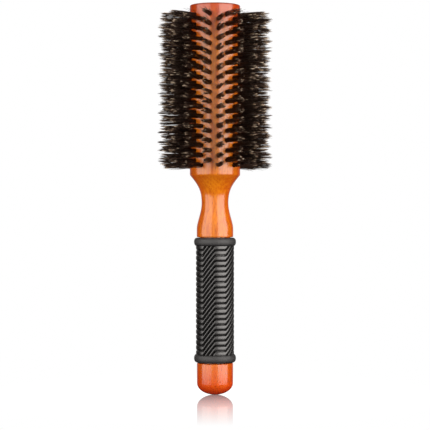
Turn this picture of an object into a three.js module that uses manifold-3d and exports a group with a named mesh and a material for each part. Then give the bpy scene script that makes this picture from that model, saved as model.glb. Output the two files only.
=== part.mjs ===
// A round barrel hair brush: a turned hardwood body, a moulded rubber grip sleeve, and rows of bristle
// tufts set in blind holes drilled round the barrel. Millimetres. The butt end stands on z = 0, the
// brush's axis is Z, the barrel is at the top, and a bare lane between two rows faces -Y.

import * as THREE from "three";
import { mergeVertices } from "three/addons/utils/BufferGeometryUtils.js";
import Module from "manifold-3d";

const wasm = await Module();
wasm.setup();

// Driving dimensions of the turned wood.
const OVERALL_LENGTH = 235;
const BARREL_RADIUS = 15.15;
const BARREL_BOTTOM = 133;
const BARREL_RIM = 0.9;
const SHOULDER_RADIUS = 14.5;
const SHOULDER_HEIGHT = 131.8;
const WAIST_RADIUS = 8.07;
const WAIST_HEIGHT = 115.8;
const BULGE_RADIUS = 11;
const BULGE_HEIGHT = 100;
const BUTT_RADIUS = 10.9;
const DOME_HEIGHT = 7.1;

// Driving dimensions of the rubber sleeve.
const SLEEVE_BOTTOM = 19.6;
const SLEEVE_TOP = 94.8;
const SLEEVE_BORE_RADIUS = 9.5;
const COLLAR_HEIGHT = 5;
const COLLAR_RADIUS = 12.65;
const COLLAR_LIP_RADIUS = 11;
const RIDGE_RADIUS = 11.5;
const GROOVE_RADIUS = 10.75;
const RIDGE_PITCH = 3.2;
const LEVEL_RIDGE_HEIGHT = 85.8;

// Driving dimensions of the bristles.
const ROW_COUNT = 18;
const TUFTS_PER_ROW = 16;
const TUFT_PITCH = 5.8;
const TOP_TUFT_HEIGHT = 228.3;
const HOLE_RADIUS = 1.35;
const HOLE_DEPTH = 6;
const ROOT_WIDTH = 1.3;
const ROOT_THICKNESS = 0.6;
const ANCHOR_ROOM = 0.8;
const MINGLE_RADIUS = 25;
const TIP_RADIUS = 32.8;
const TIP_THICKNESS = 3.7;

// The gap kept between two touching pieces.
const FIT_GAP = 0.3;

const ROW_ANGLE = (2 * Math.PI) / ROW_COUNT;
const BARREL_SIDES = 2 * ROW_COUNT;
const SLEEVE_SIDES = 40;

const hardwood = new THREE.MeshStandardMaterial({ color: 0xc8641e, roughness: 0.28, metalness: 0 });
const rubber = new THREE.MeshStandardMaterial({ color: 0x2e2d2d, roughness: 0.55, metalness: 0 });
const bristle = new THREE.MeshStandardMaterial({ color: 0x1d1714, roughness: 0.6, metalness: 0 });

// A solid from a closed mesh, once its shared vertices are merged and its collapsed triangles dropped.
function solidOf(geometry) {
  const bare = new THREE.BufferGeometry();
  bare.setAttribute("position", geometry.getAttribute("position"));
  bare.setIndex(geometry.getIndex());
  const merged = mergeVertices(bare, 1e-4);
  const corners = merged.index.array;
  const kept = [];
  for (let i = 0; i < corners.length; i += 3) {
    const [a, b, c] = corners.subarray(i, i + 3);
    if (a !== b && b !== c && c !== a) kept.push(a, b, c);
  }
  const mesh = new wasm.Mesh({
    numProp: 3,
    vertProperties: new Float32Array(merged.attributes.position.array),
    triVerts: new Uint32Array(kept),
  });
  return new wasm.Manifold(mesh);
}

// The mesh geometry of a solid, with flat-shaded faces.
function geometryOf(solid) {
  const { vertProperties, triVerts } = solid.getMesh();
  const geometry = new THREE.BufferGeometry();
  geometry.setAttribute("position", new THREE.BufferAttribute(vertProperties, 3));
  geometry.setIndex(new THREE.BufferAttribute(triVerts, 1));
  const faceted = geometry.toNonIndexed();
  faceted.computeVertexNormals();
  return faceted;
}

// A turned solid: the profile's x is the radius and its y is the height. Angle 0 is at -Y and a
// positive angle turns towards +X, as the bristle rows' angles do.
function turned(profile, curveSteps, sides, startAngle = 0) {
  const lathe = new THREE.LatheGeometry(profile.getPoints(curveSteps), sides, startAngle);
  lathe.rotateX(Math.PI / 2);
  return solidOf(lathe);
}

// A plain disc on the axis.
function disc(radius, bottom, top, sides) {
  const outline = new THREE.Path();
  outline.moveTo(0, bottom);
  outline.lineTo(radius, bottom);
  outline.lineTo(radius, top);
  outline.lineTo(0, top);
  return turned(outline, 1, sides);
}

// Heights of a row's tufts, from the barrel's end down. Odd rows sit half a pitch lower.
function tuftHeights(row) {
  const top = TOP_TUFT_HEIGHT - (row % 2) * (TUFT_PITCH / 2);
  return Array.from({ length: TUFTS_PER_ROW }, (_, tuft) => top - tuft * TUFT_PITCH);
}

// Row 1 is just right of the bare lane at -Y, and the rows count round towards +X.
function rowAngle(row) {
  return (row - 0.5) * ROW_ANGLE;
}

// The wood's outline: domed butt, turned recess for the sleeve, bulge, waist, flared shoulder, barrel.
function woodProfile() {
  const coreRadius = SLEEVE_BORE_RADIUS - FIT_GAP;
  const recessBottom = SLEEVE_BOTTOM - FIT_GAP;
  const recessTop = SLEEVE_TOP + FIT_GAP;
  const outline = new THREE.Path();
  outline.moveTo(0, 0);
  outline.absellipse(0, DOME_HEIGHT, BUTT_RADIUS, DOME_HEIGHT, -Math.PI / 2, 0, false);
  outline.lineTo(BUTT_RADIUS, recessBottom);
  outline.lineTo(coreRadius, recessBottom);
  outline.lineTo(coreRadius, recessTop);
  outline.lineTo(BULGE_RADIUS, recessTop);
  outline.lineTo(BULGE_RADIUS, BULGE_HEIGHT);
  outline.bezierCurveTo(BULGE_RADIUS, 104.5, WAIST_RADIUS, 109.5, WAIST_RADIUS, WAIST_HEIGHT);
  outline.bezierCurveTo(WAIST_RADIUS, 122.8, 9.9, 126.3, SHOULDER_RADIUS, SHOULDER_HEIGHT);
  outline.lineTo(BARREL_RADIUS, BARREL_BOTTOM);
  outline.lineTo(BARREL_RADIUS, OVERALL_LENGTH - BARREL_RIM);
  outline.quadraticCurveTo(BARREL_RADIUS, OVERALL_LENGTH, BARREL_RADIUS - BARREL_RIM, OVERALL_LENGTH);
  outline.lineTo(0, OVERALL_LENGTH);
  return outline;
}

// The drill for one tuft hole, lying along +X from the hole's floor to just outside the barrel.
function tuftDrill() {
  const reach = HOLE_DEPTH + 1;
  const drill = new THREE.CylinderGeometry(HOLE_RADIUS, HOLE_RADIUS, reach, 6);
  drill.rotateZ(-Math.PI / 2);
  drill.translate(BARREL_RADIUS - HOLE_DEPTH + reach / 2, 0, 0);
  return solidOf(drill);
}

// The barrel has two flat sides to a row, so that each row's holes open in the middle of one of them.
function makeWoodBody() {
  const drill = tuftDrill();
  const holes = [];
  for (let row = 1; row <= ROW_COUNT; row += 1) {
    const degreesFromX = THREE.MathUtils.radToDeg(rowAngle(row)) - 90;
    const turnedDrill = drill.rotate([0, 0, degreesFromX]);
    for (const height of tuftHeights(row)) holes.push(turnedDrill.translate([0, 0, height]));
  }
  const blank = turned(woodProfile(), 4, BARREL_SIDES, Math.PI / BARREL_SIDES);
  return geometryOf(blank.subtract(wasm.Manifold.union(holes)));
}

// The ridges run round the sleeve like the starts of a screw thread whose slope comes in steps: four
// times a turn they climb three pitches, with a short bend at each end of the climb, and they run level
// in between. Each climb has its start and its width in degrees, counted from the front to the right.
const CLIMBS = [
  [-40, 45],
  [33, 59],
  [128, 50],
  [218, 49],
];
const PITCHES_PER_CLIMB = 3;
const PITCHES_PER_TURN = CLIMBS.length * PITCHES_PER_CLIMB;
const CLIMB_BEND = 0.12;

// The share of a climb that lies below a part of its width.
function shareClimbed(part) {
  const slope = 1 / (1 - CLIMB_BEND);
  if (part <= 0) return 0;
  if (part >= 1) return 1;
  if (part < CLIMB_BEND) return (slope * part ** 2) / (2 * CLIMB_BEND);
  if (part > 1 - CLIMB_BEND) return 1 - (slope * (1 - part) ** 2) / (2 * CLIMB_BEND);
  return slope * (part - CLIMB_BEND / 2);
}

// The climb at an angle from 0 to a full turn, counted from the level stretch after the first climb.
function ridgeClimb(angle) {
  const degrees = THREE.MathUtils.radToDeg(angle);
  const [firstStart, firstWidth] = CLIMBS[0];
  const climbs = [...CLIMBS, [firstStart + 360, firstWidth]];
  const shares = climbs.map(([start, width]) => shareClimbed((degrees - start) / width));
  return PITCHES_PER_CLIMB * RIDGE_PITCH * (shares.reduce((sum, share) => sum + share) - 1);
}

// A solid core with the ridged surface, longer than the sleeve at both ends. Its surface is woven from
// lines along the ridges' tops (even lines) and the grooves' bottoms (odd lines). A line that has gone
// once round arrives 12 pitches higher, so each end of the core is a spiral ramp with one upright step.
function makeRidgedCore() {
  const linesPerTurn = 2 * PITCHES_PER_TURN;
  const pitchesBelow = Math.ceil((LEVEL_RIDGE_HEIGHT - SLEEVE_BOTTOM) / RIDGE_PITCH) + PITCHES_PER_TURN;
  const pitchesAbove = Math.ceil((SLEEVE_TOP - LEVEL_RIDGE_HEIGHT) / RIDGE_PITCH);
  const firstLine = -2 * pitchesBelow;
  const lastLine = 2 * (pitchesAbove + PITCHES_PER_CLIMB);

  const point = (column, line) => {
    const angle = (column / SLEEVE_SIDES) * 2 * Math.PI;
    const radius = line % 2 === 0 ? RIDGE_RADIUS : GROOVE_RADIUS;
    const height = LEVEL_RIDGE_HEIGHT + (line * RIDGE_PITCH) / 2 + ridgeClimb(angle);
    return [radius * Math.sin(angle), -radius * Math.cos(angle), height];
  };
  const footCentre = [0, 0, point(0, firstLine)[2]];
  const headCentre = [0, 0, point(SLEEVE_SIDES, lastLine)[2]];

  const corners = [];
  const face = (a, b, c) => corners.push(...a, ...b, ...c);
  for (let column = 0; column < SLEEVE_SIDES; column += 1) {
    const next = column + 1;
    for (let line = firstLine; line < lastLine; line += 1) {
      face(point(column, line), point(next, line), point(next, line + 1));
      face(point(column, line), point(next, line + 1), point(column, line + 1));
    }
    face(footCentre, point(next, firstLine), point(column, firstLine));
    face(headCentre, point(column, lastLine), point(next, lastLine));
  }
  for (let step = 0; step < linesPerTurn; step += 1) {
    const low = firstLine + step;
    const high = lastLine - step;
    face(footCentre, point(0, low), point(0, low + 1));
    face(headCentre, point(SLEEVE_SIDES, high), point(SLEEVE_SIDES, high - 1));
  }
  const geometry = new THREE.BufferGeometry();
  geometry.setAttribute("position", new THREE.Float32BufferAttribute(corners, 3));
  return solidOf(geometry);
}

// One of the two plain rounded collars, as a solid disc before the bore is cut.
function makeCollar(bottom) {
  const middle = bottom + COLLAR_HEIGHT / 2;
  const bulge = COLLAR_RADIUS - COLLAR_LIP_RADIUS;
  const outline = new THREE.Path();
  outline.moveTo(0, bottom);
  outline.lineTo(COLLAR_LIP_RADIUS, bottom);
  outline.absellipse(COLLAR_LIP_RADIUS, middle, bulge, COLLAR_HEIGHT / 2, -Math.PI / 2, Math.PI / 2, false);
  outline.lineTo(0, bottom + COLLAR_HEIGHT);
  return turned(outline, 3, SLEEVE_SIDES);
}

function makeGripSleeve() {
  const ridgedBottom = SLEEVE_BOTTOM + COLLAR_HEIGHT / 2;
  const ridgedTop = SLEEVE_TOP - COLLAR_HEIGHT / 2;
  const ridgedLength = disc(2 * RIDGE_RADIUS, ridgedBottom, ridgedTop, SLEEVE_SIDES);
  const bore = disc(SLEEVE_BORE_RADIUS, SLEEVE_BOTTOM - 1, SLEEVE_TOP + 1, SLEEVE_SIDES);
  const moulding = makeRidgedCore()
    .intersect(ridgedLength)
    .add(makeCollar(SLEEVE_BOTTOM))
    .add(makeCollar(SLEEVE_TOP - COLLAR_HEIGHT))
    .subtract(bore);
  return geometryOf(moulding);
}

// One row of tufts as a comb: roots in the holes, then tufts that fan out along the row until they
// mingle. The comb is a wedge that thickens from its roots to its tips, because the tufts also spread
// sideways.
function makeBristleRow(row) {
  const rootEnd = BARREL_RADIUS - HOLE_DEPTH + ANCHOR_ROOM;
  const halfRoot = ROOT_WIDTH / 2;
  const halfPitch = TUFT_PITCH / 2;
  const heights = tuftHeights(row);
  const outline = new THREE.Shape();
  outline.moveTo(TIP_RADIUS, heights[0] + halfPitch);
  outline.lineTo(MINGLE_RADIUS, heights[0] + halfPitch);
  for (const height of heights) {
    outline.lineTo(BARREL_RADIUS, height + halfRoot);
    outline.lineTo(rootEnd, height + halfRoot);
    outline.lineTo(rootEnd, height - halfRoot);
    outline.lineTo(BARREL_RADIUS, height - halfRoot);
    outline.lineTo(MINGLE_RADIUS, height - halfPitch);
  }
  outline.lineTo(TIP_RADIUS, heights[TUFTS_PER_ROW - 1] - halfPitch);

  const comb = new THREE.ExtrudeGeometry(outline, { depth: ROOT_WIDTH, bevelEnabled: false });
  comb.translate(0, 0, -halfRoot);
  const position = comb.getAttribute("position");
  for (let i = 0; i < position.count; i += 1) {
    const outward = (position.getX(i) - rootEnd) / (TIP_RADIUS - rootEnd);
    const thickness = THREE.MathUtils.lerp(ROOT_THICKNESS, TIP_THICKNESS, outward);
    position.setZ(i, Math.sign(position.getZ(i)) * (thickness / 2));
  }
  comb.rotateX(Math.PI / 2);
  comb.rotateZ(-Math.PI / 2);
  comb.computeVertexNormals();
  return comb;
}

const brush = new THREE.Group();

function addPiece(name, geometry, material) {
  const piece = new THREE.Mesh(geometry, material);
  piece.name = name;
  brush.add(piece);
  return piece;
}

addPiece("wood_body", makeWoodBody(), hardwood);
addPiece("grip_sleeve", makeGripSleeve(), rubber);
for (let row = 1; row <= ROW_COUNT; row += 1) {
  const name = "bristle_row_" + String(row).padStart(2, "0");
  const piece = addPiece(name, makeBristleRow(row), bristle);
  piece.rotation.z = rowAngle(row);
}

export default brush;
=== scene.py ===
import math

import bpy
import numpy as np
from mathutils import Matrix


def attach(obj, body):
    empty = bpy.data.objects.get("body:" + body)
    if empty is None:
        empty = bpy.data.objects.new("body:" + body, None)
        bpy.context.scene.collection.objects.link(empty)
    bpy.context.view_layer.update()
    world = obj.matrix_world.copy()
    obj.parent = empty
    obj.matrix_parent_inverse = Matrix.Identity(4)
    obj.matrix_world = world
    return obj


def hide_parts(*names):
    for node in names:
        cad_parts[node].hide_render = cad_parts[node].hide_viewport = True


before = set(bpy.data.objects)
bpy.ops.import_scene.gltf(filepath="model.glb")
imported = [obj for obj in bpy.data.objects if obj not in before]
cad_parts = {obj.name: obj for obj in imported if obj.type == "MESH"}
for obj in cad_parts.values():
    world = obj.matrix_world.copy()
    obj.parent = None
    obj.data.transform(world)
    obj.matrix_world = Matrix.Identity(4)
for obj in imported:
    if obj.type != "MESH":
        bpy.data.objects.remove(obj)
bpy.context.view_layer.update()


# ---- Camera -----------------------------------------------------------------------------------------
# The camera stands about a metre away, level with the middle of the brush and two degrees to the right
# of the bare lane. Its lens is long, so the barrel and the grip keep their true proportions.
MM = 0.001
CAMERA_DISTANCE = 970 * MM
CAMERA_TURN = math.radians(2)
CAMERA_HEIGHT = 111.7 * MM
AIM_HEIGHT = 108.5 * MM
WIDTH_IN_VIEW = 259.7 * MM

camera_x = CAMERA_DISTANCE * math.sin(CAMERA_TURN)
camera_y = -CAMERA_DISTANCE * math.cos(CAMERA_TURN)
look_down = math.atan2(CAMERA_HEIGHT - AIM_HEIGHT, CAMERA_DISTANCE)
bpy.ops.object.camera_add(
    location=(camera_x, camera_y, CAMERA_HEIGHT),
    rotation=(math.pi / 2 - look_down, 0, CAMERA_TURN),
)
camera = bpy.context.object
camera.data.lens = camera.data.sensor_width * CAMERA_DISTANCE / WIDTH_IN_VIEW
camera.data.clip_start = 50 * MM
camera.data.clip_end = 100
bpy.context.scene.camera = camera


# ---- Studio -----------------------------------------------------------------------------------------
# The brush stands on a sheet of white acrylic lit from within, in a white room. Two tall softboxes
# stand to its sides, with a weak fill before it and behind it. The sheet mirrors the butt faintly.
def linear(hex_colour):
    """Turns an sRGB hex colour such as "#c8641e" into linear red, green, blue and alpha."""
    parts = [int(hex_colour[i : i + 2], 16) / 255 for i in (1, 3, 5)]
    return [p / 12.92 if p <= 0.04045 else ((p + 0.055) / 1.055) ** 2.4 for p in parts] + [1]


def add_node(tree, kind, sockets=None, stops=None, **settings):
    """Adds a node: sockets take a number, a colour or a link, and stops are a ramp's colours."""
    added = tree.nodes.new(kind)
    for name, value in settings.items():
        setattr(added, name, value)
    for name, value in (sockets or {}).items():
        if isinstance(value, bpy.types.NodeSocket):
            tree.links.new(value, added.inputs[name])
        else:
            added.inputs[name].default_value = value
    for i, (place, colour) in enumerate(stops or []):
        stop = added.color_ramp.elements[i] if i < 2 else added.color_ramp.elements.new(place)
        stop.position, stop.color = place, linear(colour)
    return added


def new_material(name):
    """An empty material and its node tree."""
    material = bpy.data.materials.new(name)
    material.use_nodes = True
    material.node_tree.nodes.clear()
    return material, material.node_tree


# The room is white to the camera and in the sheet's mirror, and a dim light, least of all from below.
room = bpy.data.worlds.new("white_room")
room.use_nodes = True
bpy.context.scene.world = room
bpy.context.scene.view_settings.view_transform = "Standard"
tree = room.node_tree
tree.nodes.clear()
direction = add_node(tree, "ShaderNodeTexCoord")
up = add_node(tree, "ShaderNodeSeparateXYZ", {0: direction.outputs["Generated"]})
height = add_node(tree, "ShaderNodeMapRange", {0: up.outputs["Z"], 1: -1, 2: 1})
light = add_node(
    tree,
    "ShaderNodeValToRGB",
    {0: height.outputs[0]},
    stops=[(0.40, "#2c2b2a"), (0.60, "#434241"), (1.0, "#565554")],
)
ray = add_node(tree, "ShaderNodeLightPath")
seen = add_node(
    tree,
    "ShaderNodeMath",
    {0: ray.outputs["Is Camera Ray"], 1: ray.outputs["Is Singular Ray"]},
    operation="MAXIMUM",
)
room_light = add_node(tree, "ShaderNodeBackground", {"Color": light.outputs[0], "Strength": 1.0})
room_white = add_node(tree, "ShaderNodeBackground", {"Color": linear("#ffffff"), "Strength": 1.0})
both = add_node(
    tree,
    "ShaderNodeMixShader",
    {0: seen.outputs[0], 1: room_light.outputs[0], 2: room_white.outputs[0]},
)
add_node(tree, "ShaderNodeOutputWorld", {0: both.outputs[0]})

# White acrylic sheet: its glow hides shadows and lifts the underside of what stands on it, and its
# cast polish mirrors it.
FLOOR_WIDTH = 60
MIRROR_REACH = 0.14
MIRROR_AT_BUTT = 0.84
GLOW_AS_LIGHT = 0.6
acrylic, tree = new_material("white_acrylic_sheet")
place = add_node(tree, "ShaderNodeTexCoord")
away = add_node(
    tree, "ShaderNodeVectorMath", {0: place.outputs["Object"]}, operation="LENGTH"
)
mirror = add_node(
    tree,
    "ShaderNodeMapRange",
    {0: away.outputs["Value"], 1: 0.0, 2: MIRROR_REACH, 3: MIRROR_AT_BUTT, 4: 0.0},
)
# The polish mirrors what is seen at a low angle, and little of what is seen from above.
low_angle = add_node(tree, "ShaderNodeLayerWeight", {"Blend": 0.5})
low_share = add_node(
    tree, "ShaderNodeMapRange", {0: low_angle.outputs["Facing"], 1: 0.3, 2: 0.85, 3: 0.08, 4: 1.0}
)
mirrored = add_node(
    tree, "ShaderNodeMath", {0: mirror.outputs[0], 1: low_share.outputs[0]}, operation="MULTIPLY"
)
ray = add_node(tree, "ShaderNodeLightPath")
shine = add_node(
    tree, "ShaderNodeMapRange", {0: ray.outputs["Is Camera Ray"], 3: GLOW_AS_LIGHT, 4: 1.0}
)
glow = add_node(tree, "ShaderNodeEmission", {0: linear("#ffffff"), 1: shine.outputs[0]})
polish = add_node(tree, "ShaderNodeBsdfGlossy", {"Color": linear("#ffffff"), "Roughness": 0.0})
sheet_finish = add_node(
    tree, "ShaderNodeMixShader", {0: mirrored.outputs[0], 1: glow.outputs[0], 2: polish.outputs[0]}
)
add_node(tree, "ShaderNodeOutputMaterial", {0: sheet_finish.outputs[0]})
bpy.ops.mesh.primitive_plane_add(size=FLOOR_WIDTH, location=(0, 0, -0.01 * MM))
floor = bpy.context.object
floor.name = "acrylic_sheet"
floor.data.materials.append(acrylic)
floor.visible_glossy = False

# The softboxes reach a little lower than the sheet. Each has a turn from the camera's side, half its
# spread as seen from the brush, and a brightness.
SOFTBOX_DISTANCE = 0.9
SOFTBOX_TALL = 1.0
SOFTBOX_MIDDLE = 0.33
for name, turn, half_spread, radiance in (
    ("left_softbox", math.radians(-55), math.radians(35), 4.2),
    ("right_softbox", math.radians(52), math.radians(34), 6.2),
    ("front_fill", math.radians(0), math.radians(16), 1.2),
    ("back_fill", math.radians(180), math.radians(40), 0.25),
):
    width = 2 * SOFTBOX_DISTANCE * math.tan(half_spread)
    around = turn + CAMERA_TURN - math.pi / 2
    bpy.ops.object.light_add(
        type="AREA",
        location=(
            SOFTBOX_DISTANCE * math.cos(around),
            SOFTBOX_DISTANCE * math.sin(around),
            SOFTBOX_MIDDLE,
        ),
        rotation=(math.pi / 2, 0, around + math.pi / 2),
    )
    softbox = bpy.context.object
    softbox.name = name
    softbox.data.shape = "RECTANGLE"
    softbox.data.size = width
    softbox.data.size_y = SOFTBOX_TALL
    softbox.data.energy = 4 * radiance * width * SOFTBOX_TALL
    softbox.data.color = linear("#fffaf5")[:3]
    softbox.visible_camera = False


# ---- Turned wood body -------------------------------------------------------------------------------
# One piece of hardwood turned on a lathe: domed butt, a recess for the grip, bulge, waist, flared
# shoulder and barrel. 288 blind holes are drilled in the barrel, and it is stained and lacquered.
BARREL_RADIUS = 15.15 * MM
DRILLED_FROM = 135.5 * MM
DRILLED_TO = 231.2 * MM
ROWS = 18
TUFTS_IN_ROW = 16
TUFT_PITCH = 5.8 * MM
ROW_TURN = 2 * math.pi / ROWS
HOLE_RADIUS = 1.2 * MM
HOLE_LIP = 0.15 * MM
HOLE_DEPTH = 6 * MM
CELL_SIDE = 6
CELL_RADIUS = 2.5 * MM
LATHE_STEPS = ROWS * CELL_SIDE
MERGE_GAP = 0.01 * MM


def pick(piece, mode="OBJECT"):
    """Deselects everything, then selects one piece and opens it in the mode."""
    if bpy.context.object and bpy.context.object.mode != "OBJECT":
        bpy.ops.object.mode_set(mode="OBJECT")
    bpy.ops.object.select_all(action="DESELECT")
    piece.select_set(True)
    bpy.context.view_layer.objects.active = piece
    bpy.ops.object.mode_set(mode=mode)


def close_seams(piece):
    """Merges a mesh's doubled points and turns its faces outwards."""
    pick(piece, "EDIT")
    bpy.ops.mesh.select_all(action="SELECT")
    bpy.ops.mesh.remove_doubles(threshold=MERGE_GAP)
    bpy.ops.mesh.normals_make_consistent(inside=False)
    bpy.ops.object.mode_set(mode="OBJECT")


def draw_outline(name, points, closed=False):
    """Draws a lathe outline from (radius, height) points in mm, each with its two handles or None."""
    bpy.ops.curve.primitive_bezier_curve_add(location=(0, 0, 0))
    outline = bpy.context.object
    outline.name = name
    spline = outline.data.splines[0]
    spline.bezier_points.add(len(points) - 2)
    spline.resolution_u = 12
    spline.use_cyclic_u = closed
    for knot, (spot, before, after) in zip(spline.bezier_points, points):
        knot.handle_left_type = "FREE" if before else "VECTOR"
        knot.handle_right_type = "FREE" if after else "VECTOR"
        knot.co = (0, -spot[0] * MM, spot[1] * MM)
        if before:
            knot.handle_left = (0, -before[0] * MM, before[1] * MM)
        if after:
            knot.handle_right = (0, -after[0] * MM, after[1] * MM)
    outline.data.dimensions = "3D"
    pick(outline)
    bpy.ops.object.convert(target="MESH")
    return bpy.context.object


def turn_on_lathe(outline, steps):
    """Spins an outline once round the brush's axis and closes the seam."""
    pick(outline, "EDIT")
    bpy.ops.mesh.select_all(action="SELECT")
    bpy.ops.mesh.spin(steps=steps, angle=2 * math.pi, center=(0, 0, 0), axis=(0, 0, 1))
    close_seams(outline)
    return outline


def read_points(piece):
    """A mesh's points as an array of x, y, z."""
    flat = np.empty(len(piece.data.vertices) * 3)
    piece.data.vertices.foreach_get("co", flat)
    return flat.reshape(-1, 3)


def write_points(piece, points):
    """Puts an array of x, y, z back on a mesh."""
    piece.data.vertices.foreach_set("co", np.asarray(points, np.float32).ravel())
    piece.data.update()


def round_barrel(across, out, height, turn):
    """Places points that lie across, out from the axis and up, on the barrel's side at a turn."""
    around = turn - math.pi / 2
    x = out * math.cos(around) - across * math.sin(around)
    y = out * math.sin(around) + across * math.cos(around)
    return np.stack([x, y, height], axis=-1)


def row_turn(row):
    """Row 1 is just right of the bare lane, and the rows count round to the right."""
    return (row - 0.5) * ROW_TURN


def row_drop(row):
    """Odd rows sit half a pitch lower than even ones."""
    return (row % 2) * TUFT_PITCH / 2


def hole_height(row, tuft):
    """How high a hole's middle is; tuft 0 is the top one of its row."""
    return DRILLED_TO - row_drop(row) - (tuft + 0.5) * TUFT_PITCH


def stack_up(piece):
    """Repeats a piece at every hole of a row, upwards from the lowest."""
    stack = piece.modifiers.new("stack", "ARRAY")
    stack.count = TUFTS_IN_ROW
    stack.use_relative_offset = False
    stack.use_constant_offset = True
    stack.constant_offset_displace = (0, TUFT_PITCH, 0)
    pick(piece)
    bpy.ops.object.modifier_apply(modifier=stack.name)


def on_chord(share):
    """How far across a row's strip a share of its turn lies, from -0.5 to 0.5."""
    return BARREL_RADIUS * np.sin(share * ROW_TURN)


# One drilled cell: a round plate is inset to the hole's edge, pushed in over a small lip to the hole's
# floor, and its rim is squared off to meet its neighbours.
bpy.ops.mesh.primitive_circle_add(
    vertices=4 * CELL_SIDE, radius=CELL_RADIUS, fill_type="NGON", location=(0, 0, 0)
)
cell = bpy.context.object
pick(cell, "EDIT")
bpy.ops.mesh.select_all(action="SELECT")
bpy.ops.mesh.inset(thickness=CELL_RADIUS - HOLE_RADIUS - HOLE_LIP)
bpy.ops.mesh.extrude_region_move(TRANSFORM_OT_translate={"value": (0, 0, -HOLE_LIP)})
lip_scale = HOLE_RADIUS / (HOLE_RADIUS + HOLE_LIP)
bpy.ops.transform.resize(value=(lip_scale, lip_scale, 1))
bpy.ops.mesh.extrude_region_move(TRANSFORM_OT_translate={"value": (0, 0, HOLE_LIP - HOLE_DEPTH)})
bpy.ops.object.mode_set(mode="OBJECT")
for corner in cell.data.vertices:
    if math.hypot(corner.co.x, corner.co.y) > 0.96 * CELL_RADIUS:
        turns = math.atan2(corner.co.y, corner.co.x) / (math.pi / 2)
        side = math.floor(turns + 0.5)
        share = turns - side
        facing, along = [(1, 1), (1, -1), (-1, -1), (-1, 1)][side % 4]
        if side % 2 == 0:
            corner.co.x = on_chord(facing / 2)
            corner.co.y = along * share * TUFT_PITCH
        else:
            corner.co.x = on_chord(along * share)
            corner.co.y = facing * TUFT_PITCH / 2

# A row's strip: 16 cells stacked, and a plain half cell that fills its free end.
stack_up(cell)
bpy.ops.mesh.primitive_grid_add(
    x_subdivisions=CELL_SIDE, y_subdivisions=CELL_SIDE // 2, size=1, location=(0, 0, 0)
)
half_cell = bpy.context.object
half = read_points(half_cell)
half[:, 0] = on_chord(half[:, 0])
half[:, 1] = half[:, 1] * TUFT_PITCH / 2
write_points(half_cell, half)

strips = []
for row in range(1, ROWS + 1):
    lowest_hole = hole_height(row, TUFTS_IN_ROW - 1)
    filler_height = DRILLED_TO - TUFT_PITCH / 4 if row % 2 else DRILLED_FROM + TUFT_PITCH / 4
    for source, lift in ((cell, lowest_hole), (half_cell, filler_height)):
        strip = source.copy()
        strip.data = source.data.copy()
        bpy.context.collection.objects.link(strip)
        across, up_strip, depth = read_points(strip).T
        out = np.sqrt(BARREL_RADIUS**2 - across**2) + depth
        write_points(strip, round_barrel(across, out, up_strip + lift, row_turn(row)))
        strips.append(strip)
bpy.data.objects.remove(cell)
bpy.data.objects.remove(half_cell)

# The rest of the outline, below and above the holes. The edges that meet the grip are rounded over.
handle_wood = draw_outline(
    "handle_wood",
    [
        ((0, 0), None, (6.02, 0)),
        ((10.9, 7.1), (10.9, 3.18), None),
        ((10.9, 18.5), None, (10.9, 19.1)),
        ((10.1, 19.3), (10.6, 19.3), None),
        ((9.2, 19.3), None, None),
        ((9.2, 95.1), None, None),
        ((10.2, 95.1), None, (10.7, 95.1)),
        ((11, 95.9), (11, 95.3), None),
        ((11, 100), None, (11, 104.5)),
        ((8.07, 115.8), (8.07, 109.5), (8.07, 122.8)),
        ((14.5, 131.8), (9.9, 126.3), (14.75, 132.1)),
        ((15.15, 133.1), (15.15, 132.5), None),
        ((15.15, 135.5), None, None),
    ],
)
barrel_end = draw_outline(
    "barrel_end",
    [
        ((15.15, 231.2), None, None),
        ((15.15, 234.1), None, (15.15, 234.7)),
        ((14.25, 235), (14.85, 235), None),
        ((0, 235), None, None),
    ],
)
turn_on_lathe(handle_wood, LATHE_STEPS)
turn_on_lathe(barrel_end, LATHE_STEPS)
pick(handle_wood)
for part in [barrel_end, *strips]:
    part.select_set(True)
bpy.ops.object.join()
wood = bpy.context.object
wood.name = "turned_wood_body"
close_seams(wood)
bpy.ops.object.shade_smooth_by_angle(angle=math.radians(35))

# Close-grained hardwood such as beech, stained orange brown under clear lacquer. The stain takes
# darker in the late wood and in the short pores, and the lacquer lays soft bright bands over it.
stained_wood, tree = new_material("stained_lacquered_beech")
place = add_node(tree, "ShaderNodeTexCoord")
# The tree's pith lies 60 mm behind the brush and 35 mm to its left, and the grain runs its length.
from_pith = add_node(
    tree,
    "ShaderNodeMapping",
    {"Vector": place.outputs["Object"], "Location": (0.035, -0.060, 0), "Rotation": (0.02, 0.03, 0)},
)
long_grain = add_node(
    tree, "ShaderNodeMapping", {"Vector": place.outputs["Object"], "Scale": (1, 1, 0.09)}
)
sway = add_node(
    tree,
    "ShaderNodeTexNoise",
    {"Vector": long_grain.outputs[0], "Scale": 120, "Detail": 3, "Roughness": 0.55},
)
swayed = add_node(
    tree,
    "ShaderNodeVectorMath",
    {0: sway.outputs["Color"], 1: (0.004, 0.004, 0), 2: from_pith.outputs[0]},
    operation="MULTIPLY_ADD",
)
# Growth rings about 2 mm apart.
rings = add_node(
    tree,
    "ShaderNodeTexWave",
    {"Vector": swayed.outputs[0], "Scale": 160, "Distortion": 1.5, "Detail": 2, "Detail Scale": 1.2},
    wave_type="RINGS",
    rings_direction="Z",
    wave_profile="SIN",
)
# Fibre streaks about 1 mm wide and ten times as long.
streaks = add_node(
    tree,
    "ShaderNodeTexNoise",
    {"Vector": long_grain.outputs[0], "Scale": 900, "Detail": 4, "Roughness": 0.6},
)
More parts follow.
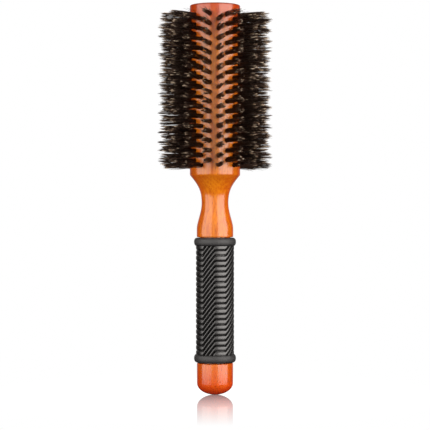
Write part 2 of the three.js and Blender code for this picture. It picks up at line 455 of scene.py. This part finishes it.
# Broad cloudiness where the stain soaked in unevenly, 10 mm or so across.
cloud = add_node(
    tree,
    "ShaderNodeTexNoise",
    {"Vector": place.outputs["Object"], "Scale": 85, "Detail": 3, "Roughness": 0.6},
)
figure = add_node(
    tree,
    "ShaderNodeMath",
    {0: rings.outputs["Fac"], 1: 0.08, 2: 0.21},
    operation="MULTIPLY_ADD",
)
figure_streaks = add_node(
    tree,
    "ShaderNodeMath",
    {0: streaks.outputs["Fac"], 1: 0.45, 2: figure.outputs[0]},
    operation="MULTIPLY_ADD",
)
figure_all = add_node(
    tree,
    "ShaderNodeMath",
    {0: cloud.outputs["Fac"], 1: 0.30, 2: figure_streaks.outputs[0]},
    operation="MULTIPLY_ADD",
)
stain = add_node(
    tree,
    "ShaderNodeValToRGB",
    {0: figure_all.outputs[0]},
    stops=[(0.32, "#732902"), (0.50, "#954502"), (0.70, "#ab5f06")],
)
# Painted edge shade: where the surface turns away from view, the colour is drawn deeper and redder, as
# if seen through more of the amber lacquer.
slant = add_node(tree, "ShaderNodeLayerWeight", {"Blend": 0.5})
painted_edge_shade_share = add_node(
    tree, "ShaderNodeMapRange", {0: slant.outputs["Facing"], 1: 0.15, 2: 0.75, 3: 0.0, 4: 0.8}
)
stain_and_painted_edge_shade = add_node(
    tree,
    "ShaderNodeMix",
    {0: painted_edge_shade_share.outputs[0], 6: stain.outputs[0], 7: linear("#983202")},
    data_type="RGBA",
)
# The wood is drawn darker and redder towards the butt, and darker and redder towards the tip.
upright = add_node(tree, "ShaderNodeSeparateXYZ", {0: place.outputs["Object"]})
near_butt = add_node(
    tree, "ShaderNodeMapRange", {0: upright.outputs["Z"], 1: 28 * MM, 2: 0.0, 3: 0.0, 4: 0.85}
)
redder_towards_butt = add_node(
    tree,
    "ShaderNodeMix",
    {0: near_butt.outputs[0], 6: stain_and_painted_edge_shade.outputs[2], 7: linear("#9a1a02")},
    data_type="RGBA",
)
near_tip = add_node(
    tree,
    "ShaderNodeMapRange",
    {0: upright.outputs["Z"], 1: 205 * MM, 2: 236 * MM, 3: 0.0, 4: 0.8},
)
darker_towards_tip = add_node(
    tree,
    "ShaderNodeMix",
    {0: near_tip.outputs[0], 6: redder_towards_butt.outputs[2], 7: linear("#7c1402")},
    data_type="RGBA",
)
# The flat tip is open end grain, which takes the stain darkest, drinks the lacquer and stays dull.
lacquer = add_node(
    tree,
    "ShaderNodeMapRange",
    {0: upright.outputs["Z"], 1: 233.9 * MM, 2: 234.9 * MM, 3: 1.0, 4: 0.05},
)
end_grain = add_node(
    tree,
    "ShaderNodeMix",
    {0: lacquer.outputs[0], 6: linear("#5c1c08"), 7: darker_towards_tip.outputs[2]},
    data_type="RGBA",
)
# Open pores: dark ticks 0.15 mm wide and 2 mm long, drawn twice as wide as real ones.
pore_grain = add_node(
    tree, "ShaderNodeMapping", {"Vector": place.outputs["Object"], "Scale": (1, 1, 0.12)}
)
pores = add_node(
    tree, "ShaderNodeTexVoronoi", {"Vector": pore_grain.outputs[0], "Scale": 1500, "Randomness": 1.0}
)
pore_depth = add_node(
    tree,
    "ShaderNodeMapRange",
    {0: pores.outputs["Distance"], 1: 0.10, 2: 0.26, 3: 0.0, 4: 1.0},
)
pored = add_node(
    tree,
    "ShaderNodeMix",
    {0: pore_depth.outputs[0], 6: linear("#5e1c04"), 7: end_grain.outputs[2]},
    data_type="RGBA",
)
# The wood's fine surface telegraphs a little through the lacquer, 0.02 mm deep.
ripple = add_node(
    tree,
    "ShaderNodeBump",
    {"Height": figure_streaks.outputs[0], "Strength": 0.35, "Distance": 0.1 * MM},
)
lacquered = add_node(
    tree,
    "ShaderNodeBsdfPrincipled",
    {
        "Base Color": pored.outputs[2],
        "Roughness": 0.5,
        "Specular IOR Level": 0.0,
        "Coat Weight": lacquer.outputs[0],
        "Coat Roughness": 0.2,
        "Coat IOR": 1.42,
        "Normal": ripple.outputs[0],
    },
)
add_node(tree, "ShaderNodeOutputMaterial", {0: lacquered.outputs[0]})
wood.data.materials.clear()
wood.data.materials.append(stained_wood)
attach(wood, "root")
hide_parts("wood_body")


# ---- Tuft anchors -----------------------------------------------------------------------------------
# A short blank of flat galvanised wire sits over the fold of every tuft. The filling machine drives it
# across the hole into the wood of both walls, which is all that holds the tuft.
ANCHOR_LENGTH = 2.7 * MM
ANCHOR_WIDTH = 1.5 * MM
ANCHOR_THICKNESS = 0.35 * MM
PINCHED_SHARE = 0.1
ANCHOR_SEAT = BARREL_RADIUS - HOLE_DEPTH + 0.95 * MM

# Drawn steel wire, zinc coated: a dull blue-grey metal, faintly mottled.
galvanised_wire, tree = new_material("galvanised_flat_wire")
place = add_node(tree, "ShaderNodeTexCoord")
mottle = add_node(
    tree,
    "ShaderNodeTexNoise",
    {"Vector": place.outputs["Object"], "Scale": 4000, "Detail": 2},
)
zinc = add_node(
    tree,
    "ShaderNodeValToRGB",
    {0: mottle.outputs["Fac"]},
    stops=[(0.35, "#8b9196"), (0.65, "#b4babd")],
)
wire_finish = add_node(
    tree,
    "ShaderNodeBsdfPrincipled",
    {"Base Color": zinc.outputs[0], "Metallic": 1.0, "Roughness": 0.42},
)
add_node(tree, "ShaderNodeOutputMaterial", {0: wire_finish.outputs[0]})

# One blank, its ends pinched where the wire was cut, then a row of 16.
bpy.ops.mesh.primitive_cube_add(size=1, location=(0, 0, 0))
blank = bpy.context.object
pick(blank, "EDIT")
bpy.ops.mesh.select_all(action="SELECT")
middle_length = (1 - 2 * PINCHED_SHARE) * ANCHOR_LENGTH
bpy.ops.transform.resize(value=(middle_length, ANCHOR_THICKNESS, ANCHOR_WIDTH))
for end in (-1, 1):
    bpy.ops.mesh.select_all(action="DESELECT")
    bpy.ops.object.mode_set(mode="OBJECT")
    for face in blank.data.polygons:
        face.select = face.normal.x * end > 0.9
    bpy.ops.object.mode_set(mode="EDIT")
    bpy.ops.mesh.select_mode(type="FACE")
    bpy.ops.mesh.extrude_region_move(
        TRANSFORM_OT_translate={"value": (end * PINCHED_SHARE * ANCHOR_LENGTH, 0, 0)}
    )
    bpy.ops.transform.resize(value=(1, 0.4, 0.9))
bpy.ops.object.mode_set(mode="OBJECT")
stack_up(blank)

for row in range(1, ROWS + 1):
    anchors = blank.copy()
    anchors.data = blank.data.copy()
    anchors.name = f"wire_anchors_row_{row:02d}"
    bpy.context.collection.objects.link(anchors)
    across, up_strip, depth = read_points(anchors).T
    height = up_strip + hole_height(row, TUFTS_IN_ROW - 1)
    write_points(anchors, round_barrel(across, ANCHOR_SEAT + depth, height, row_turn(row)))
    close_seams(anchors)
    anchors.data.materials.clear()
    anchors.data.materials.append(galvanised_wire)
    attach(anchors, "root")
bpy.data.objects.remove(blank)


# ---- Grip sleeve ------------------------------------------------------------------------------------
# A sleeve of soft black rubber, moulded in one with a plain round collar at each end, and stretched
# into the recess of the handle. Its ridges climb in steps, like a stair on a screw thread.
SLEEVE_STEPS = 240
RIDGE_CUTS = (79, 3)
RIDGE_PITCH = 3.18 * MM
RIDGE_RADIUS = 11.5 * MM
GROOVE_DEPTH = 1.6 * MM
LEVEL_GROOVE_DEPTH = 0.45 * MM
GROOVE_REACH = 0.82 * MM
GROOVE_CURVE = 2.1
RIDGE_CROWN = 0.08 * MM
LEVEL_RIDGE = 85.8 * MM
SLEEVE_MIDDLE = 57.2 * MM
# The sleeve's outside lies beyond this radius. Its ridged part ends in the collars, here given by the
# heights of their middles.
SKIN_RADIUS = 10.9 * MM
RIDGED_PART = (24.55 * MM, 89.85 * MM)
COLLAR_MIDDLES = (22.1 * MM, 92.3 * MM)
# Each climb's start and width in degrees, counted from the front to the right.
CLIMBS = ((-40, 45), (33, 59), (128, 50), (218, 49))
PITCHES_A_CLIMB = 3
CLIMB_BEND = 0.12
STEEP_CLIMB = 0.8


def ridge_climb(turn):
    """How far the ridges have climbed at a turn: they climb four times round, and else run level."""
    degrees = np.degrees(turn)
    degrees = np.where(degrees < CLIMBS[0][0], degrees + 360, degrees)
    height = 0
    for start, width in CLIMBS:
        part = np.clip((degrees - start) / width, 0, 1)
        slope = 1 / (1 - CLIMB_BEND)
        climbed = slope * (part - CLIMB_BEND / 2)
        climbed = np.where(part < CLIMB_BEND, slope * part**2 / (2 * CLIMB_BEND), climbed)
        ending = 1 - slope * (1 - part) ** 2 / (2 * CLIMB_BEND)
        height = height + np.where(part > 1 - CLIMB_BEND, ending, climbed)
    return PITCHES_A_CLIMB * RIDGE_PITCH * height


sleeve = draw_outline(
    "grip_rubber_sleeve",
    [
        ((9.5, 19.6), None, None),
        ((10.8, 19.6), None, (12.1, 19.6)),
        ((12.65, 22.1), (12.65, 20.8), (12.65, 23.4)),
        ((11.1, 24.6), (12.1, 24.6), None),
        ((11.1, 89.8), None, (12.1, 89.8)),
        ((12.65, 92.3), (12.65, 91.0), (12.65, 93.6)),
        ((10.8, 94.8), (12.1, 94.8), None),
        ((9.5, 94.8), None, None),
    ],
    closed=True,
)
# The straight between the collars is cut finely enough to carry the ridges: into 80, and each again
# into four.
pick(sleeve, "EDIT")
bpy.ops.mesh.select_all(action="SELECT")
bpy.ops.mesh.remove_doubles(threshold=MERGE_GAP)
bpy.ops.mesh.select_all(action="DESELECT")
bpy.ops.mesh.select_mode(type="EDGE")
bpy.ops.object.mode_set(mode="OBJECT")
for edge in sleeve.data.edges:
    low, high = sorted((sleeve.data.vertices[i].co for i in edge.vertices), key=lambda p: p.z)
    edge.select = -low.y > SKIN_RADIUS and high.z - low.z > 60 * MM
bpy.ops.object.mode_set(mode="EDIT")
for cuts in RIDGE_CUTS:
    bpy.ops.mesh.subdivide(number_cuts=cuts)
turn_on_lathe(sleeve, SLEEVE_STEPS)

# Each point of the outside is lowered by the groove that passes it. The grooves keep their width where
# the ridges climb, so the ridges are slimmer there, and they are shallower where the ridges run level.
points = read_points(sleeve)
radius = np.hypot(points[:, 0], points[:, 1])
turn = np.arctan2(points[:, 1], points[:, 0]) + math.pi / 2
turn = np.where(turn > math.pi, turn - 2 * math.pi, turn)
lines = (points[:, 2] - LEVEL_RIDGE - ridge_climb(turn)) / RIDGE_PITCH
nudge = math.radians(0.05)
steepness = (ridge_climb(turn + nudge) - ridge_climb(turn - nudge)) / (2 * nudge * RIDGE_RADIUS)
across_pitch = RIDGE_PITCH / np.sqrt(1 + steepness**2)
from_crest = np.abs(lines - np.round(lines)) * across_pitch
up_the_wall = np.clip((across_pitch / 2 - from_crest) / GROOVE_REACH, 0, 1)
climbing = np.clip(steepness / STEEP_CLIMB, 0, 1)
depth = LEVEL_GROOVE_DEPTH + (GROOVE_DEPTH - LEVEL_GROOVE_DEPTH) * climbing
ridge = RIDGE_RADIUS - depth * (1 - up_the_wall) ** GROOVE_CURVE - RIDGE_CROWN * (from_crest / MM) ** 2
skin = radius > SKIN_RADIUS
ridged = skin & (points[:, 2] > RIDGED_PART[0]) & (points[:, 2] < RIDGED_PART[1])
near_collar = skin & (points[:, 2] > COLLAR_MIDDLES[0]) & (points[:, 2] < COLLAR_MIDDLES[1])
moved = np.where(ridged, ridge, np.where(near_collar, np.maximum(radius, ridge), radius))
points[:, :2] *= (moved / radius)[:, None]
write_points(sleeve, points)
pick(sleeve)
bpy.ops.object.shade_smooth_by_angle(angle=math.radians(50))

# Moulded thermoplastic rubber, charcoal black. A fine matt texture in the mould gives it a soft grey
# sheen where a softbox falls on it, and leaves the grooves black.
soft_rubber, tree = new_material("moulded_soft_rubber")
place = add_node(tree, "ShaderNodeTexCoord")
# Mould texture grains of about 0.12 mm, drawn at 0.3 mm so that they show.
grain = add_node(
    tree,
    "ShaderNodeTexNoise",
    {"Vector": place.outputs["Object"], "Scale": 3300, "Detail": 2, "Roughness": 0.6},
)
# Handling leaves duller and shinier patches, 8 mm or so across.
handled = add_node(
    tree,
    "ShaderNodeTexNoise",
    {"Vector": place.outputs["Object"], "Scale": 120, "Detail": 3, "Roughness": 0.55},
)
rubber_tone = add_node(
    tree,
    "ShaderNodeValToRGB",
    {0: handled.outputs["Fac"]},
    stops=[(0.35, "#090808"), (0.65, "#0f0e0e")],
)
ridge_dullness = add_node(
    tree,
    "ShaderNodeMapRange",
    {0: handled.outputs["Fac"], 1: 0.3, 2: 0.7, 3: 0.28, 4: 0.35},
)
# The collars stand proud of the ridges and were left duller by the mould.
upright = add_node(tree, "ShaderNodeSeparateXYZ", {0: place.outputs["Object"]})
from_mid = add_node(
    tree, "ShaderNodeMath", {0: upright.outputs["Z"], 1: SLEEVE_MIDDLE}, operation="SUBTRACT"
)
far = add_node(tree, "ShaderNodeMath", {0: from_mid.outputs[0]}, operation="ABSOLUTE")
on_collar = add_node(
    tree,
    "ShaderNodeMapRange",
    {0: far.outputs[0], 1: 32.6 * MM, 2: 33.4 * MM, 3: 0.0, 4: 1.0},
)
rubber_dullness = add_node(
    tree,
    "ShaderNodeMix",
    {0: on_collar.outputs[0], 2: ridge_dullness.outputs[0], 3: 0.64},
    data_type="FLOAT",
)
collar_tone = add_node(
    tree,
    "ShaderNodeMix",
    {0: on_collar.outputs[0], 6: rubber_tone.outputs[0], 7: linear("#131213")},
    data_type="RGBA",
)
pebbling = add_node(
    tree,
    "ShaderNodeBump",
    {"Height": grain.outputs["Fac"], "Strength": 0.25, "Distance": 0.05 * MM},
)
rubber_finish = add_node(
    tree,
    "ShaderNodeBsdfPrincipled",
    {
        "Base Color": collar_tone.outputs[2],
        "Roughness": rubber_dullness.outputs[0],
        "IOR": 1.52,
        "Normal": pebbling.outputs[0],
    },
)
add_node(tree, "ShaderNodeOutputMaterial", {0: rubber_finish.outputs[0]})
sleeve.data.materials.clear()
sleeve.data.materials.append(soft_rubber)
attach(sleeve, "root")
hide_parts("grip_sleeve")


# ---- Boar bristle tufts -----------------------------------------------------------------------------
# Every hole holds a tuft of boar bristle folded in two under its anchor. The bristles leave the hole
# tightly packed, fan out, and cling together at their split, sun-bleached tips; the palest tips are
# partly painted glints.
BRISTLES_IN_TUFT = 110
FOLD_RADIUS = BARREL_RADIUS - HOLE_DEPTH + 0.6 * MM
TUFT_ROOT_RADIUS = 1.02 * MM
TUFT_TIP_RADIUS = 1.9 * MM
TIP_RADIUS = 34.0 * MM
BRISTLE_THICKNESS = 0.125 * MM
BRISTLE_TAPER = 0.45
BRISTLE_RINGS = (0.33, 0.66, 0.92)
FAN_CURVE = 1.15
# How far a bristle moves over to its point, how many stray from it, and how far each kind is off.
CLING = 0.85
STRAY_SHARE = 0.10
STRAY_SPREAD = 1.3 * MM
CLOSE_SPREAD = 0.22 * MM
# How many bristles are short, by how much at most, and the nearest and furthest that any tip lies.
SHORT_SHARE = 0.36
SHORT_BY = 13 * MM
REACH_LIMITS = (19 * MM, 35 * MM)
# Bristles with a tone above this have split tips, which are this much thicker.
PALE_TONE = 0.89
SPLIT_GIRTH = 0.7

# Boar bristle, black dyed: glossy dark stems that pale to brown and tan where the tips split; the
# palest tips also carry painted glints.
boar_bristle, tree = new_material("boar_bristle")
up_stem = add_node(tree, "ShaderNodeAttribute", attribute_name="up_the_stem")
tone = add_node(tree, "ShaderNodeAttribute", attribute_name="bristle_tone")
stem_colour = add_node(
    tree,
    "ShaderNodeValToRGB",
    {0: tone.outputs["Fac"]},
    stops=[(0.0, "#070504"), (0.6, "#0d0a08"), (1.0, "#241a13")],
)
# Tip colour: brown and tan for the split tips, and near-white painted glints on the palest of them.
tip_colour_and_painted_glints = add_node(
    tree,
    "ShaderNodeValToRGB",
    {0: tone.outputs["Fac"]},
    stops=[(0.0, "#0d0a08"), (0.87, "#1e1712"), (0.91, "#7d6850"), (1.0, "#ecd8bc")],
)
pale_tip_and_glint_share = add_node(
    tree,
    "ShaderNodeMapRange",
    {0: up_stem.outputs["Fac"], 1: 0.82, 2: 1.0, 3: 0.0, 4: 1.0},
    interpolation_type="SMOOTHSTEP",
)
bristle_colour = add_node(
    tree,
    "ShaderNodeMix",
    {0: pale_tip_and_glint_share.outputs[0], 6: stem_colour.outputs[0], 7: tip_colour_and_painted_glints.outputs[0]},
    data_type="RGBA",
)
bristle_finish = add_node(
    tree,
    "ShaderNodeBsdfPrincipled",
    {
        "Base Color": bristle_colour.outputs[2],
        "Roughness": 0.34,
        "IOR": 1.55,
        "Specular Tint": linear("#ffd0b8"),
    },
)
add_node(tree, "ShaderNodeOutputMaterial", {0: bristle_finish.outputs[0]})

# One bristle: a three-sided spike a unit long, cut into four lengths so that it can curve.
bpy.ops.mesh.primitive_cone_add(
    vertices=3, radius1=1, radius2=0, depth=1, location=(0, 0, 0.5), end_fill_type="TRIFAN"
)
spike = bpy.context.object
pick(spike)
bpy.ops.object.transform_apply(location=True, rotation=True, scale=True)
for share in BRISTLE_RINGS:
    pick(spike, "EDIT")
    bpy.ops.mesh.select_all(action="SELECT")
    bpy.ops.mesh.bisect(plane_co=(0, 0, share), plane_no=(0, 0, 1))
pick(spike)
spike_points = read_points(spike)
spike_up = spike_points[:, 2]
spike_angle = np.arctan2(spike_points[:, 1], spike_points[:, 0])
spike_edge = (np.hypot(spike_points[:, 0], spike_points[:, 1]) > 1e-4).astype(float)
spike_faces = [list(face.vertices) for face in spike.data.polygons]
bpy.data.objects.remove(spike)
tufting = np.random.default_rng(18)


def grow_tuft(turn, height):
    """Points of one tuft's bristles, with each point's share up its stem and its bristle's tone."""
    count = BRISTLES_IN_TUFT
    root_angle = tufting.uniform(0, 2 * math.pi, count)
    root_share = np.sqrt(tufting.uniform(0, 1, count))
    root_across = TUFT_ROOT_RADIUS * root_share * np.cos(root_angle)
    root_up = TUFT_ROOT_RADIUS * root_share * np.sin(root_angle)
    # Bristles cling in six to nine points, each round a middle somewhere in the tuft's fan.
    points_of_tuft = tufting.integers(6, 10)
    cling_angle = tufting.uniform(0, 2 * math.pi, points_of_tuft)
    cling_share = np.sqrt(tufting.uniform(0.05, 1, points_of_tuft))
    cling_across = TUFT_TIP_RADIUS * cling_share * np.cos(cling_angle)
    cling_up = TUFT_TIP_RADIUS * cling_share * np.sin(cling_angle)
    fan = TUFT_TIP_RADIUS / TUFT_ROOT_RADIUS
    gap = (root_across[:, None] * fan - cling_across) ** 2 + (root_up[:, None] * fan - cling_up) ** 2
    nearest = np.argmin(gap, axis=1)
    stray = np.where(tufting.uniform(0, 1, count) < STRAY_SHARE, STRAY_SPREAD, CLOSE_SPREAD)
    lean_across, lean_up = tufting.normal(0, 0.35 * MM, 2)
    tip_across = (1 - CLING) * root_across * fan + CLING * cling_across[nearest]
    tip_up = (1 - CLING) * root_up * fan + CLING * cling_up[nearest]
    tip_across = tip_across + lean_across + tufting.normal(0, 1, count) * stray
    tip_up = tip_up + lean_up + tufting.normal(0, 1, count) * stray
    from_middle = np.hypot(tip_across, tip_up) / TUFT_TIP_RADIUS
    reach = TIP_RADIUS - 1.5 * MM * from_middle**2 + tufting.normal(0, 0.5 * MM, count)
    reach = reach + tufting.normal(0, 0.9 * MM, points_of_tuft)[nearest]
    # Natural bristles differ in length, and a third of them stop well short of the tuft's end.
    short = tufting.uniform(0, 1, count) < SHORT_SHARE
    reach = np.clip(reach - short * tufting.uniform(0, SHORT_BY, count), *REACH_LIMITS)
    bow_across, bow_up = tufting.normal(0, 0.30 * MM, (2, count))
    thickness = BRISTLE_THICKNESS * tufting.uniform(0.8, 1.15, count)
    # The palest bristles are the ones whose tips have split into a brush of fine hairs.
    tones = tufting.uniform(0, 1, count)
    split = np.where(tones > PALE_TONE, SPLIT_GIRTH, 0)

    up = spike_up[None, :]
    fanned = up**FAN_CURVE
    bowed = np.sin(math.pi * up)
    across = root_across[:, None] * (1 - fanned) + tip_across[:, None] * fanned
    across = across + bow_across[:, None] * bowed
    rise = root_up[:, None] * (1 - fanned) + tip_up[:, None] * fanned
    rise = rise + bow_up[:, None] * bowed
    out = FOLD_RADIUS + (reach[:, None] - FOLD_RADIUS) * up
    girth = thickness[:, None] * (1 - BRISTLE_TAPER * up + split[:, None] * up**3) * spike_edge
    spin = spike_angle + tufting.uniform(0, 2 * math.pi, count)[:, None]
    across = across + girth * np.cos(spin)
    rise = rise + girth * np.sin(spin)
    placed = round_barrel(across, out, rise + height, turn)
    stem_share = np.broadcast_to(up, across.shape)
    tone_share = np.broadcast_to(tones[:, None], across.shape)
    return placed.reshape(-1, 3), stem_share.ravel(), tone_share.ravel()


for row in range(1, ROWS + 1):
    tufts = [
        grow_tuft(row_turn(row), hole_height(row, tuft)) for tuft in range(TUFTS_IN_ROW)
    ]
    row_points = np.concatenate([tuft[0] for tuft in tufts])
    bristle_starts = range(0, len(row_points), len(spike_points))
    row_faces = [[i + start for i in face] for start in bristle_starts for face in spike_faces]
    row_mesh = bpy.data.meshes.new(f"bristles_row_{row:02d}")
    row_mesh.from_pydata(row_points, [], row_faces)
    for name, part in (("up_the_stem", 1), ("bristle_tone", 2)):
        values = np.concatenate([tuft[part] for tuft in tufts]).astype(np.float32)
        row_mesh.attributes.new(name, "FLOAT", "POINT").data.foreach_set("value", values)
    row_mesh.shade_smooth()
    bristles = bpy.data.objects.new(f"bristles_row_{row:02d}", row_mesh)
    bpy.context.collection.objects.link(bristles)
    pick(bristles, "EDIT")
    bpy.ops.mesh.select_all(action="SELECT")
    bpy.ops.mesh.normals_make_consistent(inside=False)
    bpy.ops.object.mode_set(mode="OBJECT")
    bristles.data.materials.append(boar_bristle)
    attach(bristles, "root")
    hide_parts(f"bristle_row_{row:02d}")
